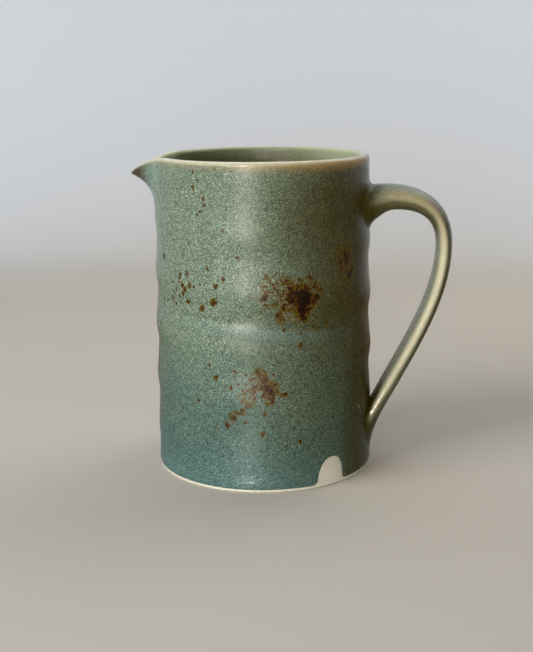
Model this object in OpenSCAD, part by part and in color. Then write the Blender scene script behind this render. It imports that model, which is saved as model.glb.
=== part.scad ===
// Hand-thrown stoneware pitcher: a straight-sided cylinder with a pulled spout, a strap handle
// and a mottled glaze that stops short of the foot. Millimetres, Z up, the table is at Z = 0.
// The handle points along +X and the spout along -X.

/* [Body] */
// Height of the rim above the table, over the glaze
body_height = 140; // [110:1:180]
// Outer radius at the foot, over the glaze
foot_radius = 48.5; // [40:0.1:58]
// How far the wall leans in from the foot to the rim
wall_lean = 1.3; // [-6:0.1:6]
// Thickness of the clay wall at the foot
foot_wall = 4.4; // [3:0.1:6]
// Thickness of the clay wall at the rim
rim_wall = 3; // [2:0.1:4.5]
// Thickness of the clay floor
floor_thickness = 6; // [4:0.5:10]
// Radius of the hollow corner between the floor and the wall
corner_radius = 6; // [3:0.5:10]
// Bevel round the lower edge of the foot
foot_bevel = 0.6; // [0.3:0.1:1]

/* [Throwing rings] */
// Distance from one throwing ring to the next
ring_pitch = 24; // [14:1:40]
// Height of the fullest throwing ring
ring_height = 62; // [40:1:90]
// How far a ring stands out from the hollow beside it
ring_depth = 0.9; // [0:0.1:2]

/* [Glaze] */
// Thickness of the glaze coat
glaze_thickness = 0.5; // [0.3:0.1:1]
// Height of the bare clay line under the glaze
glaze_line = 1.3; // [1.1:0.1:3.5]
// Width of the bare finger mark where it meets the table
finger_mark_width = 17; // [10:0.5:24]
// Height of the bare finger mark
finger_mark_height = 12.6; // [6:0.2:24]
// How far the finger mark leans towards the handle
finger_mark_lean = 1.6; // [-4:0.2:4]
// Direction of the finger mark, measured round from the handle
finger_mark_angle = -49; // [-62:1:-32]

/* [Spout] */
// How far the tip of the spout is pulled out past the rim
spout_reach = 12.2; // [6:0.5:16]
// How far the tip of the spout dips below the rim
spout_dip = 8; // [2:0.5:10]
// Depth of the throat below the rim
spout_depth = 26; // [18:1:36]
// Angle from the middle of the spout to each of its sides
spout_half_angle = 30; // [20:1:45]

/* [Handle] */
// Space for fingers between the wall and the widest part of the handle
finger_gap = 30.4; // [22:0.5:40]
// Thickness of the strap over the crown
crown_thickness = 8.6; // [6:0.1:11]
// Thickness of the strap at its widest point
strap_thickness = 5.6; // [4.5:0.1:9]
// Thickness of the strap on the lower run
lower_thickness = 6.6; // [5:0.1:10]
// Width of the strap where it leaves the wall
strap_top_width = 19; // [14:0.5:24]
// Width of the strap at its lower bend
strap_low_width = 16; // [12:0.5:22]
// How far below the rim the strap leaves the wall
upper_joint_drop = 22.5; // [19:0.5:27]
// How far below the rim the strap reaches its widest point
widest_drop = 43; // [38:0.5:50]
// Height at which the strap bends down along the wall
lower_bend_height = 38; // [32:0.5:44]
// Slope of the straight lower run, from the level
lower_run_angle = 62; // [52:1:70]
// Extra thickness on each face of the strap at the upper joint
upper_flare = 5.8; // [2:0.2:7]
// Extra width on each edge of the strap at both joints
joint_flare = 4.5; // [2:0.5:7]
// Thickness of the slip that bonds the handle to the wall
slip_thickness = 0.5; // [0.3:0.1:1]

/* [Hidden] */

clay_colour = "#d2b493";
slip_colour = "#bfa283";
glaze_colour = "#7f927f";

round_steps = 128;
side_steps = 26;
throat_steps = 12;
rim_steps = 12;
corner_steps = 6;
mark_steps = 24;
spout_steps = 24;
strap_sides = 24;
strap_steps = 16;

// The spout's pull grows from the throat to the lip, and its dip is drawn in towards the tip.
throat_exponent = 2.4;
dip_exponent = 1.5;

// A strap section is a rounded oblong: 2 would be an ellipse, and a high number a rectangle.
strap_exponent = 2.6;
// Length of the upper flare, and of the stretch over which the strap closes up to the wall
flare_length = 10;
wrap_length = 12;
// Reach of the curve handles that shape the strap, and how far its ends run into the wall
crown_lift = 7.2;
shoulder_reach = 25;
hip_reach = 18;
lower_run_reach = 22;
bend_reach = 13;
tail_reach = 13;
bend_standoff = 10;
tail_height = 3;
tail_sink = 2.3;
joint_sink = 9;
// Share of its thickness that the strap keeps at the tail
tail_ratio = 0.7;
cut_margin = 12;

rim_radius = foot_radius - wall_lean;
rim_centre = rim_radius - glaze_thickness - rim_wall / 2;
arc_height = body_height - glaze_thickness - rim_wall / 2;
throat_height = body_height - spout_depth;
side_heights = steps_between(floor_thickness, throat_height, side_steps);
throat_heights = steps_between(throat_height, arc_height, throat_steps);

function steps_between(a, b, count) = [for (i = [0:count]) a + (b - a) * i / count];
function clamped(t) = max(0, min(1, t));
function eased(t) = let (c = clamped(t)) c * c * (3 - 2 * c);
function mixed(a, b, t) = a + (b - a) * t;
function reversed(list) = [for (i = [len(list) - 1:-1:0]) list[i]];
function without_last(list) = [for (i = [0:len(list) - 2]) list[i]];
function flat(lists) = [for (list = lists) each list];

// Radii of the body at a height
function ring_swell(z) =
    ring_depth / 2 * cos(360 * (z - ring_height) / ring_pitch) * sin(180 * clamped(z / arc_height));
function glaze_radius(z) = mixed(foot_radius, rim_radius, clamped(z / arc_height)) + ring_swell(z);
function outer_clay(z) = glaze_radius(z) - glaze_thickness;
function inner_clay(z) = outer_clay(z) - mixed(foot_wall, rim_wall, clamped(z / arc_height));

// Outlines of the body in a plane through its axis, as [radius, height]; a coat lies over the clay
function outside(heights, coat) = [for (z = heights) [outer_clay(z) + coat, z]];
function inside(heights, coat) = [for (z = heights) [inner_clay(z) - coat, z]];
function rim_arc(coat, from, to) = [
    for (a = steps_between(from, to, rim_steps * abs(to - from) / 180))
        [rim_centre + (rim_wall / 2 + coat) * cos(a), arc_height + (rim_wall / 2 + coat) * sin(a)]
];
function corner_arc(coat) =
    let (top = floor_thickness + corner_radius)
    [for (a = steps_between(0, -90, corner_steps))
        [inner_clay(top) - corner_radius + (corner_radius - coat) * cos(a),
         top + (corner_radius - coat) * sin(a)]];
function throat_section(coat) = concat(
    outside(without_last(throat_heights), coat),
    rim_arc(coat, 0, 180),
    inside(reversed(without_last(throat_heights)), coat)
);
function inside_heights() = reversed(
    [for (z = without_last(side_heights)) if (z > floor_thickness + corner_radius) z]
);
function liner_outline(coat) = concat(
    rim_arc(coat, 90, 180),
    inside(reversed(without_last(throat_heights)), coat),
    inside(inside_heights(), coat),
    corner_arc(coat),
    [[0, floor_thickness + coat]]
);

// Faces between neighbouring rings, each a closed loop of as many points
// A quad is cut on its short diagonal
function skin(rings, first, inward) = [
    for (k = [0:len(rings) - 2], j = [0:len(rings[0]) - 1])
        let (count = len(rings[0]), n = (j + 1) % count)
        let (a = first + k * count, b = a + count)
        let (short = norm(rings[k][j] - rings[k + 1][n]) <= norm(rings[k][n] - rings[k + 1][j]))
        for (face = short ? [[a + j, a + n, b + n], [a + j, b + n, b + j]]
                          : [[a + j, a + n, b + j], [a + n, b + n, b + j]])
            inward ? reversed(face) : face
];

// An end cap, as a strip between the first half of a loop and the second half
function end_cap(first, count, far_end) = [
    for (i = [0:floor((count - 1) / 2) - 1])
        let (a = first + i, b = a + 1, d = first + count - 1 - i, c = d - 1)
        for (face = b == c ? [[a, c, d]] : [[a, b, c], [a, c, d]])
            far_end ? face : reversed(face)
];

// A solid through a row of rings
module loft(rings) {
    count = len(rings[0]);
    far = count * (len(rings) - 1);
    polyhedron(
        flat(rings),
        concat(skin(rings, 0, false), end_cap(0, count, false), end_cap(far, count, true))
    );
}

// A tube between an outer and an inner row of rings
module tube(outer, inner) {
    count = len(outer[0]);
    far = count * (len(outer) - 1);
    bore = far + count;
    ends = [for (j = [0:count - 1])
        let (n = (j + 1) % count)
        each [[j, bore + n, n], [j, bore + j, bore + n],
              [far + j, far + n, bore + far + n], [far + j, bore + far + n, bore + far + j]]];
    polyhedron(
        concat(flat(outer), flat(inner)),
        concat(skin(outer, 0, false), skin(inner, bore, true), ends)
    );
}

// The wedge of the body that the spout takes up
module spout_wedge() {
    span = 2 * (max(rim_radius, foot_radius) + cut_margin);
    translate([0, 0, throat_height])
        linear_extrude(spout_depth + cut_margin)
            polygon([[0, 0], for (a = [-1, 1]) span * [-cos(spout_half_angle), a * sin(spout_half_angle)]]);
}

// A section of the body, turned to an angle off the middle of the spout and pulled out there
function pulled_section(section, angle) =
    let (bell = (1 + cos(180 * angle / spout_half_angle)) / 2)
    [for (p = section)
        let (pull = pow(clamped((p[1] - throat_height) / spout_depth), throat_exponent))
        let (r = p[0] + spout_reach * bell * pull)
        [-r * cos(angle), -r * sin(angle), p[1] - spout_dip * pow(bell, dip_exponent) * pull]];
function spout_rings(section) = [
    for (a = steps_between(-spout_half_angle, spout_half_angle, spout_steps)) pulled_section(section, a)
];

// The strap's middle line in the XZ plane: over the crown, down the back, then along the wall
upper_joint = [outer_clay(body_height - upper_joint_drop) - joint_sink, body_height - upper_joint_drop];
widest = [
    outer_clay(body_height - widest_drop) + glaze_thickness + finger_gap + strap_thickness / 2,
    body_height - widest_drop
];
run_direction = [-cos(lower_run_angle), -sin(lower_run_angle)];
bend = [outer_clay(lower_bend_height) + bend_standoff, lower_bend_height];
tail = [outer_clay(tail_height) - tail_sink, tail_height];
strap_stops = [crown_thickness, strap_thickness, lower_thickness, lower_thickness * tail_ratio];
crown_reach = (widest[0] - upper_joint[0]) / 2;
strap_curves = [
    [upper_joint, upper_joint + [crown_reach, crown_lift], widest + [0, shoulder_reach], widest],
    [widest, widest - [0, hip_reach], bend - lower_run_reach * run_direction, bend],
    [bend, bend + bend_reach * run_direction, tail + [0, tail_reach], tail]
];
function on_curve(c, t) = let (s = 1 - t)
    s * s * s * c[0] + 3 * s * s * t * c[1] + 3 * s * t * t * c[2] + t * t * t * c[3];
function along_curve(c, t) = let (s = 1 - t)
    s * s * (c[1] - c[0]) + 2 * s * t * (c[2] - c[1]) + t * t * (c[3] - c[2]);

// One ring of the strap, at a share t of one of its curves, grown by the coat on every side
function strap_ring(curve, t, coat) =
    let (p = on_curve(strap_curves[curve], t))
    let (way = along_curve(strap_curves[curve], t))
    let (across = [-way[1], way[0]] / norm(way))
    let (off_wall = p[0] - outer_clay(p[1]))
    let (flare = curve == 0 ? pow(1 - clamped(off_wall / flare_length), 2) : 0)
    let (fan = curve == 2 ? eased(t) : flare)
    let (width = mixed(strap_top_width, strap_low_width, clamped((curve + t) / 2)))
    let (thickness = mixed(strap_stops[curve], strap_stops[curve + 1], eased(t)))
    let (half_thickness = thickness / 2 + upper_flare * flare + coat)
    let (half_width = width / 2 + joint_flare * fan + coat)
    let (wrap = 1 - eased(off_wall / wrap_length))
    let (wall = outer_clay(p[1]))
    [for (j = [0:strap_sides - 1])
        let (a = 360 * (j + 0.5) / strap_sides)
        let (u = half_thickness * rounded(cos(a)), y = half_width * rounded(sin(a)))
        [p[0] + across[0] * u - wrap * (wall - sqrt(wall * wall - y * y)), y, p[1] + across[1] * u]];
function rounded(c) = sign(c) * pow(abs(c), 2 / strap_exponent);
function strap_rings(curves, coat) = [
    for (curve = curves, i = [curve == curves[0] ? 0 : 1:strap_steps])
        strap_ring(curve, i / strap_steps, coat)
];
upper_end = [0];
lower_end = [2];
whole_strap = [0, 1, 2];

// The body as a full solid, grown by a coat over its clay
module body_core(coat) {
    heights = concat([-cut_margin, glaze_line], without_last(side_heights), throat_heights);
    rotate_extrude($fn = round_steps)
        polygon(concat(
            [[0, -cut_margin]],
            outside(heights, coat),
            [[rim_radius, body_height], [0, body_height]]
        ));
}

// The arch of bare clay that a finger left in the glaze at the foot
module finger_mark() {
    rotate([0, 0, finger_mark_angle])
        translate([foot_radius - cut_margin, 0, 0])
            rotate([90, 0, 90])
                linear_extrude(2 * cut_margin)
                    polygon([for (a = steps_between(0, 180, mark_steps))
                        [finger_mark_width / 2 * cos(a) + finger_mark_lean * sin(a),
                         finger_mark_height * sin(a)]]);
}

// The slip under one end of the handle
module slip_joint(end) {
    intersection() {
        loft(strap_rings(end, 0));
        difference() {
            body_core(slip_thickness);
            body_core(0);
        }
    }
}

module floor_disc() {
    color(clay_colour)
        rotate_extrude($fn = round_steps)
            polygon(concat(
                [[0, 0], [outer_clay(foot_bevel) - foot_bevel, 0]],
                outside([foot_bevel, glaze_line, floor_thickness], 0),
                [[0, floor_thickness]]
            ));
}

module thrown_wall() {
    color(clay_colour)
        difference() {
            rotate_extrude($fn = round_steps)
                polygon(concat(
                    outside(without_last(side_heights), 0),
                    throat_section(0),
                    inside(inside_heights(), 0),
                    corner_arc(0)
                ));
            spout_wedge();
        }
}

module pulled_spout() {
    color(clay_colour)
        loft(spout_rings(throat_section(0)));
}

module pulled_handle() {
    color(clay_colour)
        difference() {
            loft(strap_rings(whole_strap, 0));
            body_core(slip_thickness);
        }
}

module upper_slip_joint() {
    color(slip_colour)
        slip_joint(upper_end);
}

module lower_slip_joint() {
    color(slip_colour)
        slip_joint(lower_end);
}

module outer_glaze() {
    color(glaze_colour)
        difference() {
            rotate_extrude($fn = round_steps)
                polygon(concat(
                    [[outer_clay(glaze_line), glaze_line]],
                    outside(concat([glaze_line + glaze_thickness], without_last(side_heights),
                                   without_last(throat_heights)), glaze_thickness),
                    rim_arc(glaze_thickness, 0, 90),
                    rim_arc(0, 90, 0),
                    outside(reversed(without_last(throat_heights)), 0),
                    outside(reversed(without_last(side_heights)), 0)
                ));
            spout_wedge();
            finger_mark();
            loft(strap_rings(upper_end, 0));
            loft(strap_rings(lower_end, 0));
        }
}

module liner_glaze() {
    color(glaze_colour)
        difference() {
            rotate_extrude($fn = round_steps)
                polygon(concat(liner_outline(0), reversed(liner_outline(glaze_thickness))));
            spout_wedge();
        }
}

module spout_glaze() {
    color(glaze_colour)
        loft(spout_rings(concat(throat_section(glaze_thickness), reversed(throat_section(0)))));
}

module handle_glaze() {
    color(glaze_colour)
        difference() {
            tube(strap_rings(whole_strap, glaze_thickness), strap_rings(whole_strap, 0));
            body_core(glaze_thickness);
        }
}

floor_disc();
thrown_wall();
pulled_spout();
pulled_handle();
upper_slip_joint();
lower_slip_joint();
outer_glaze();
liner_glaze();
spout_glaze();
handle_glaze();
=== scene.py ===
"""A hand-thrown stoneware pitcher: bare clay, a mottled glaze with rust blooms, and a strap handle.

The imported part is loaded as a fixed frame, and each operator makes one piece on it.
"""

import math
from types import SimpleNamespace

import bpy
from mathutils import Matrix, Vector


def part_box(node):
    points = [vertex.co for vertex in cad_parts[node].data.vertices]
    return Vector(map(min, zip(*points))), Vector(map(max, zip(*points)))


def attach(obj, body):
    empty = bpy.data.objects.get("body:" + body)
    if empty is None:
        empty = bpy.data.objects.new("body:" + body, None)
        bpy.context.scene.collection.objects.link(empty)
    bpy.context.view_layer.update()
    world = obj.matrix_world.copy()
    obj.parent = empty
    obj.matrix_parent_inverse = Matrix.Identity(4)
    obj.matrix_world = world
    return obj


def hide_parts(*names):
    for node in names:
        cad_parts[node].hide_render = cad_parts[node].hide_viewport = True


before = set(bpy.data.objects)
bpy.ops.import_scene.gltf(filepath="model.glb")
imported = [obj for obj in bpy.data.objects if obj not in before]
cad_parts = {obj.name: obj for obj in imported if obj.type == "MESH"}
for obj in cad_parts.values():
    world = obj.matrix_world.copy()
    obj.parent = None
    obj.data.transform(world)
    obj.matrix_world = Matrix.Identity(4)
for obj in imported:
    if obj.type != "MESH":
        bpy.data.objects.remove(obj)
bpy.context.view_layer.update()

bl_info = {
    "name": "Stoneware pitcher",
    "version": (1, 0, 0),
    "blender": (4, 5, 0),
    "location": "3D View > Sidebar > Pitcher",
    "description": "Makes a glazed stoneware pitcher, its strap handle and a plain stage",
    "category": "Object",
}

MM = 0.001
FULL_TURN = 2 * math.pi

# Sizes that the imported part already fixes
RIM_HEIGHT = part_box("outer_glaze")[1].z
FLOOR_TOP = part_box("floor_disc")[1].z
MIDDLE = Vector((0, 0, RIM_HEIGHT / 2))

# Points nearer than a seam are one. Half a step keeps a row's number whole when it is rounded down, and keeps
# the strap's columns off the middles of its faces and edges
SEAM = 0.002 * MM
HALF_STEP = 0.5

# The throwing rings: two finer waves on each, and a lip and a groove on the front of one
SECOND_WAVE = 0.22
SECOND_WAVE_SHIFT = 1.1
FINE_WAVE = 0.07
FINE_WAVES = 5
LIP_SPREAD = 2.6 * MM
GROOVE_SPREAD = 1.3 * MM
LEDGE_SPAN = math.radians(62)

# Shares of the foot's radius between which the rings come in, so that the floor stays flat
WALL_FROM = 0.6
WALL_TO = 0.8

# The glaze coat: its reach into the clay, its lower edge with a roll above it, and its worn rim
UNDERLAP = 0.03 * MM
EDGE_ROUND = 0.8 * MM
ROLL_RISE = 2.2 * MM
ROLL_SPREAD = 1.5 * MM
BREAK_DROP = 4.5 * MM

# Shares of the way over the rim from the inside: its palest crest, which is partly painted highlight, where
# the outside and the worn glaze start, and how much of the way each of those two takes to come in
CREST_PLACE = 0.56
CREST_SPREAD = 0.5
OUTSIDE_FROM = 0.3
BREAK_FROM = 0.5
RIM_TURN = 0.3

# The bare finger mark: an arch that leans a little, with a flare at its sides
MARK_SPAN = math.radians(13)
MARK_FADE = 26 * MM
MARK_POWER = 2.3
MARK_SKEW = 0.3
MARK_FLARE = 1.2 * MM
MARK_FLARE_SHARE = 0.3

# The spout
THROAT_POWER = 2.1
SPOUT_LIP = 1.6 * MM
DIP_POWER = 1.5

# The strap: its section, the reaches that bend its middle line, and its ends in the wall
STRAP_POWER = 2.3
FLARE_LENGTH = 11.5 * MM
WRAP_LENGTH = 12 * MM
UPRIGHT_LENGTH = 9 * MM
CROWN_LIFT = 7 * MM
SHOULDER_REACH = 22 * MM
HIP_REACH = 21 * MM
LOWER_RUN_REACH = 22 * MM
BEND_REACH = 13 * MM
BEND_STANDOFF = 10 * MM
TAIL_REACH = 13 * MM
TAIL_HEIGHT = 3 * MM
TAIL_SINK = 2.3 * MM
TAIL_SHARE = 0.7
JOINT_SINK = 9 * MM
ROOT_SINK = 1.8 * MM
CORE_FILLET = 0.5
HALVINGS = 40

# Where the look of the strap changes: heights, and distances from the wall
LOW_RUN = (25 * MM, 75 * MM)
HIGH_RUN = (60 * MM, 100 * MM)
CROWN_TURN = (108 * MM, 124 * MM)
CROWN_TOP = (104 * MM, 128 * MM)
STRAP_START = (1 * MM, 9 * MM)
CREST_START = 0.5 * MM
CREST_END_LOW = 3 * MM
CREST_END_RISE = 9 * MM

# How the strap's glaze follows the way its surface faces: painted shade on its outward and downward faces,
# and its pale edges, partly painted highlight
OUTER_FACE = (0.0, 0.75)
UNDER_FACE = (0.0, 0.5)
UNDER_TURN = 0.2
LOW_RUN_SHADE = 0.3
PALE_EDGE = (0.35, 0.9)
CROWN_FADE = 0.35
CREST_SHADE_FADE = 0.85

# Where the look of the glaze changes, in millimetres: heights, and places from the axis towards the handle
TEAL_HEIGHTS = (10.0, 85.0)
OLIVE_HEIGHTS = (10.0, 80.0)
FOOT_HEIGHTS = (0.0, 24.0)
# The liner heights and side place painted light inside
LINER_HEIGHTS = (132.0, 140.0)
CROWN_HEIGHTS = (92.0, 120.0)
# The olive side and edge are partly painted shade on the side towards the handle
OLIVE_SIDE = (-16.0, 48.0)
OLIVE_EDGE = (28.0, 44.0)
LINER_SIDE = (4.0, 38.0)
BROWN_SIDE = (-25.0, 40.0)
RIM_SHADE_SIDE = (2.0, 42.0)

# The same along the spout, from 0 at its sides to 1 at its tip
THROAT_SPAN = (0.0, 0.12)
SPOUT_LINER_SPAN = (0.0, 0.2)
SPOUT_BROWN_SPAN = (0.2, 0.65)
SPOUT_TIP_SPAN = (0.5, 1.0)

# Noises of the glaze and the clay, all about one middle: waves in a millimetre, detail and roughness
NOISE_MIDDLE = 0.5
GRAIN = (2.1, 1.5, 0.6)
FLECKS = (0.5, 2, 0.6)
CLOUDS = (0.028, 2, 0.5)
DIMPLES = (1.3, 1, 0.5)
RUST_PATCHES = (0.45, 2, 0.5)
RUST_CLUMPS = (1.2, 1, 0.5)
SAND = (2.2, 2, 0.6)
CLAY_PATCHES = (0.15, 2, 0.5)
GRAIN_SPAN = (0.4, 0.76)
SAND_SPAN = (0.5, 0.7)

# How noise frays the large and the small rust marks: waves in a millimetre, detail, and reach in millimetres
WIDE_FRAY = (0.35, 2, 4.0)
NEAR_FRAY = (0.9, 1, 2.4)

# How much iron stains the glaze, and turns the stain from gold to brown and then to black
STAIN_SPAN = (0.04, 0.36)
RUST_BROWN_SPAN = (0.35, 0.7)
RUST_BLACK_SPAN = (0.8, 1.25)

# How far clouds of noise carry the teal and the olive, in millimetres, how olive the glaze is low down, and
# how olive the strap is in its painted shade
TEAL_DRIFT = 60
OLIVE_DRIFT = 40
OLIVE_LOW = 0.35
OLIVE_STRAP_SHADE = 0.85

# Shares in the mottle of the glaze: its grain, its flecks, an even lift, and painted shade over the front
# ledge
GRAIN_SHARE = 0.85
FLECK_SHARE = 0.45
MOTTLE_LIFT = 0.08
LEDGE_SHADE = 0.16

# How much painted light pales the liner towards the handle and near the rim, and how much paler it is in the
# spout; how much glaze gathered under the spout, and painted sheen on the ledge's lip and at the foot
LIT_LINER_SIDE = 0.62
LIT_LINER_RIM = 0.25
SPOUT_LINER_PALE = 0.4
LEDGE_SHEEN = 0.14
FOOT_SHEEN = 0.09
THROAT_POOL = 0.16

# Iron in the rust: shares of the depth of a mark, and of patches and clumps of noise, with fine grit
BLOOM_DEPTH = 0.95
BLOOM_EDGE = (0.0, 0.12)
BLOOM_GRAIN = (1.4, 1.7)
CORE_DEPTH = 0.7
LACE_LIFT = 0.24
LACE_EDGE = (0.0, 0.45)
LACE_GRAIN = (0.9, 2.6)
FRECKLE_SPREAD = 0.5
FRECKLE_CHANCE = (1.0, 1.08)
FRECKLE_DEPTH = 1.1
FRECKLE_FALL = 2.4
SPECK_DEPTH = 0.95
SPECK_EDGE = 0.3
SPECK_HEAD_DEPTH = 0.5
SPECK_GRAIN = 1.1
GRIT = 0.3
GRIT_UPRIGHT = 0.8
STAIN_MOST = 0.97

# Worn edges: how brown and how flecked their tan is, the spout's wear, and the pale crests, partly painted
# highlight, which painted shade dims on the rim towards the handle
TAN_LEAST = 0.25
TAN_EVEN = 0.3
SPOUT_WEAR = 0.9
RIM_SHADE = 0.35
CREST_EVEN = 0.7
CREST_FLECKS = 0.4

# The glaze's relief of grain, its roughness, and what grain and rust add to it; the same for clay and sand
GRAIN_RELIEF = 0.4
GLAZE_ROUGHNESS = 0.07
GRAIN_ROUGHNESS = 0.07
RUST_ROUGHNESS = 0.14
CLAY_ROUGHNESS = 0.8
SAND_ROUGHNESS = 0.15
SAND_SHARE = 0.8
CLAY_PATCH_SHARE = 0.5

# Numbers that the rules store on the glazed pieces
GLAZE_NUMBERS = ("inside", "strap", "drained", "ledge", "spout", "breaking", "crest")

# Rows along each stretch of a section, and columns across the finger mark and round the rest
COAT_ROWS = {"floor": 7, "corner": 8, "inside": 46, "rim": 22, "wall": 94, "edge": 7}
UNDER_ROWS = {"floor": 3, "corner": 5, "inside": 18, "rim": 8, "wall": 26}
CLAY_ROWS = {"floor": 4, "corner": 6, "inside": 26, "rim": 10, "wall": 40, "foot": 16, "bevel": 5, "base": 6}
COAT_COLUMNS = (72, 300)
CLAY_COLUMNS = (24, 240)

# Rows in the strap's fillet and lower bend, and on each of its longer runs; columns round it
STRAP_COAT_ROWS = (40, 60)
STRAP_CLAY_ROWS = (24, 24)
STRAP_SIDES = 72

# The stage, in metres: the floor's sweep, and how far from the middle its look changes
SWEEP_FRONT = -1.4
SWEEP_BACK = 0.5
SWEEP_ROUND = 0.25
SWEEP_TOP = 1.6
SWEEP_HALF_WIDTH = 2.2
SWEEP_STEPS = 16
BACKDROP_SPAN = (0.4, 1.05)
SATIN_SPAN = (0.1, 0.24)
BOUNCE_SPAN = (0.2, 0.6)
SATIN_TINT = "#C0EEFF"
ROOM_TINT = "#F4F1EC"
SENSOR_WIDTH = 36
LAMPS = {
    "window": {"place": (-0.9, -0.72, 0.8), "width": 0.9, "height": 0.9, "tint": "#F6F9FF"},
    "sky": {"place": (-0.1, 0.35, 1.1), "width": 0.9, "height": 0.7, "tint": "#EAF3FF"},
    "front": {"place": (-0.1, -1.15, 0.12), "width": 0.6, "height": 0.3, "tint": "#FFFDFA"},
    "strip": {"place": (-0.27, -1.07, 0.4), "width": 0.1, "height": 1.0, "tint": "#FFF7E8"},
    "back": {"place": (0.45, 0.42, 0.7), "width": 0.5, "height": 0.5, "tint": "#FFFAF2"},
}

# Rust marks stand upright, and a speck is darkest in its head, this many millimetres above its middle
MARK_UPRIGHT = 0.85
SPECK_HEAD = 0.4

# Rust marks in the glaze: degrees round from the handle, height and radius in millimetres
BIG_BLOOM = [
    (-68, 84, 7.5), (-62, 84, 6), (-66, 80, 5), (-57, 84, 3), (-55, 87, 2), (-58, 89, 2.2), (-61, 92, 1.8),
    (-66, 91, 2), (-72, 91, 2.4), (-84, 85, 2.2), (-75, 81, 3.4), (-78, 77, 2.4), (-65, 76, 3.4),
]
LACE = [
    (-83, 91, 4.5), (-78, 91, 4.5), (-82, 84, 5), (-77, 84, 5), (-75, 78, 5), (-74, 91, 4), (-69, 77, 4),
    (-88, 50, 5), (-93, 42, 4.5), (-40, 101, 6), (-37, 91, 6), (-41, 84, 4),
]
BIG_BLOOM_CORE = [(-64, 85, 4), (-64, 81, 5), (-71, 87, 3), (-72, 85, 2.5)]
LOW_BLOOM = [
    (-88, 53, 3), (-85, 51, 3), (-90, 46, 2.6), (-84, 46, 4.4), (-81, 45, 4), (-82, 41, 2.6), (-90, 42, 2.2),
    (-94, 39, 2), (-96, 36, 1.7), (-101, 33, 2.2), (-99, 35, 1.6), (-104.5, 30, 1.7), (-110, 28, 1.5),
    (-75, 43, 1.8),
]
FAR_SIDE_BLOOM = [
    (-38, 98, 6), (-34, 92, 4), (62, 74, 6), (70, 79, 4.5), (118, 96, 4.5), (124, 92, 3.5), (150, 48, 4),
]
FRECKLES = [(-130, 87, 9), (-139, 82, 7), (-113, 86, 9), (-76, 84, 13), (-92, 45, 13), (-62, 78, 11)]
LEFT_SPECKS = [
    (-130, 88, 1.9), (-125, 88, 1.8), (-128, 86, 1.9), (-132, 92, 1.5), (-127, 93, 1.4), (-122, 88, 1.4),
    (-135, 86, 1.2), (-133, 83, 1.4), (-130, 84, 1.2), (-127, 81, 2), (-140, 81, 1.3), (-137, 79, 1.5),
    (-151, 79, 1.4), (-111, 82, 2.4), (-118, 79, 2.2), (-109, 89, 1.8),
]
STRAY_SPECKS = [
    (-105, 92, 1.4), (-114, 96, 1.4), (-92, 85, 1.4), (-154, 68, 1.4), (-51, 72, 1.5), (-86, 26, 1.9),
    (-67, 22, 1.5), (-95, 31, 1.5), (-85, 35, 1.7), (-102, 46, 1.4), (-100, 53, 1.4), (-110, 50, 2),
    (-114, 55, 1.2), (-120, 39, 1.2), (-67, 64, 1.4), (-75, 71, 1.1), (-116, 124.5, 1.3), (-115.5, 122, 1.1),
    (-117.5, 119.5, 1.1), (-119.5, 118, 0.9), (-117, 127.5, 0.8), (-149, 98, 2), (-98, 101, 1.2),
    (-36, 3, 1.2), (-105, 112, 1.1), (-122, 135.5, 1), (-119, 132, 1.1), (-122, 129, 1.2), (-109, 137, 0.9),
]


def linear(code):
    """A colour written as it is seen, such as #7F927F, as linear red, green and blue."""
    seen = [int(code[i:i + 2], 16) / 255 for i in (1, 3, 5)]
    return tuple(c / 12.92 if c <= 0.04045 else ((c + 0.055) / 1.055) ** 2.4 for c in seen)


def size(name, description, millimetres):
    return bpy.props.FloatProperty(
        name=name, description=description, default=millimetres * MM, unit="LENGTH", subtype="DISTANCE")


def turn(name, description, degrees):
    return bpy.props.FloatProperty(
        name=name, description=description, default=math.radians(degrees), unit="ROTATION", subtype="ANGLE")


def share(name, description, value):
    return bpy.props.FloatProperty(name=name, description=description, default=value, subtype="FACTOR")


def colour(name, description, code):
    return bpy.props.FloatVectorProperty(
        name=name, description=description, default=linear(code), subtype="COLOR", size=3, min=0, max=1)


def power(name, description, watts):
    return bpy.props.FloatProperty(name=name, description=description, default=watts, unit="POWER")


class PitcherBody(bpy.types.PropertyGroup):
    """Sizes of the thrown body, its glaze and its spout."""

    foot_radius: size("Foot radius", "Outer radius at the foot, over the glaze", 48.5)
    wall_lean: size("Wall lean", "How far the wall leans in from the foot to the rim", 1.3)
    foot_wall: size("Foot wall", "Thickness of the clay wall at the foot", 4.4)
    rim_wall: size("Rim wall", "Thickness of the clay wall at the rim", 3)
    corner_radius: size("Corner radius", "Hollow corner between the floor and the wall", 6)
    foot_bevel: size("Foot bevel", "Round on the lower edge of the foot", 0.6)
    ring_pitch: size("Ring pitch", "Distance from one throwing ring to the next", 24)
    ring_height: size("Ring height", "Height of the fullest ring at the front", 62)
    ring_depth: size("Ring depth", "How far a ring stands out from the hollow beside it", 0.9)
    ring_front: turn("Ring front", "Where the ring height is measured, round from the handle", -85)
    ledge_rise: size("Ledge rise", "How far above the crest of its ring the front ledge lies", 10)
    ledge_depth: size("Ledge depth", "How far the lip of the front ledge stands out", 0.4)
    glaze_thickness: size("Glaze thickness", "Thickness of the glaze coat", 0.5)
    glaze_line: size("Glaze line", "Height of the bare clay line under the glaze", 1.3)
    glaze_roll: size("Glaze roll", "Extra thickness where the glaze gathers above its edge", 0.12)
    mark_angle: turn("Mark angle", "Direction of the finger mark, round from the handle", -49)
    mark_width: size("Mark width", "Width of the bare finger mark", 14.1)
    mark_height: size("Mark height", "Height of the bare finger mark", 12.9)
    spout_reach: size("Spout reach", "How far the tip of the spout is pulled past the rim", 11.2)
    spout_dip: size("Spout dip", "How far the tip of the spout dips below the rim", 7)
    spout_depth: size("Spout depth", "Depth of the throat below the rim", 26)
    spout_half_angle: turn("Spout half angle", "From the middle of the spout to each of its sides", 30)


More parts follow.
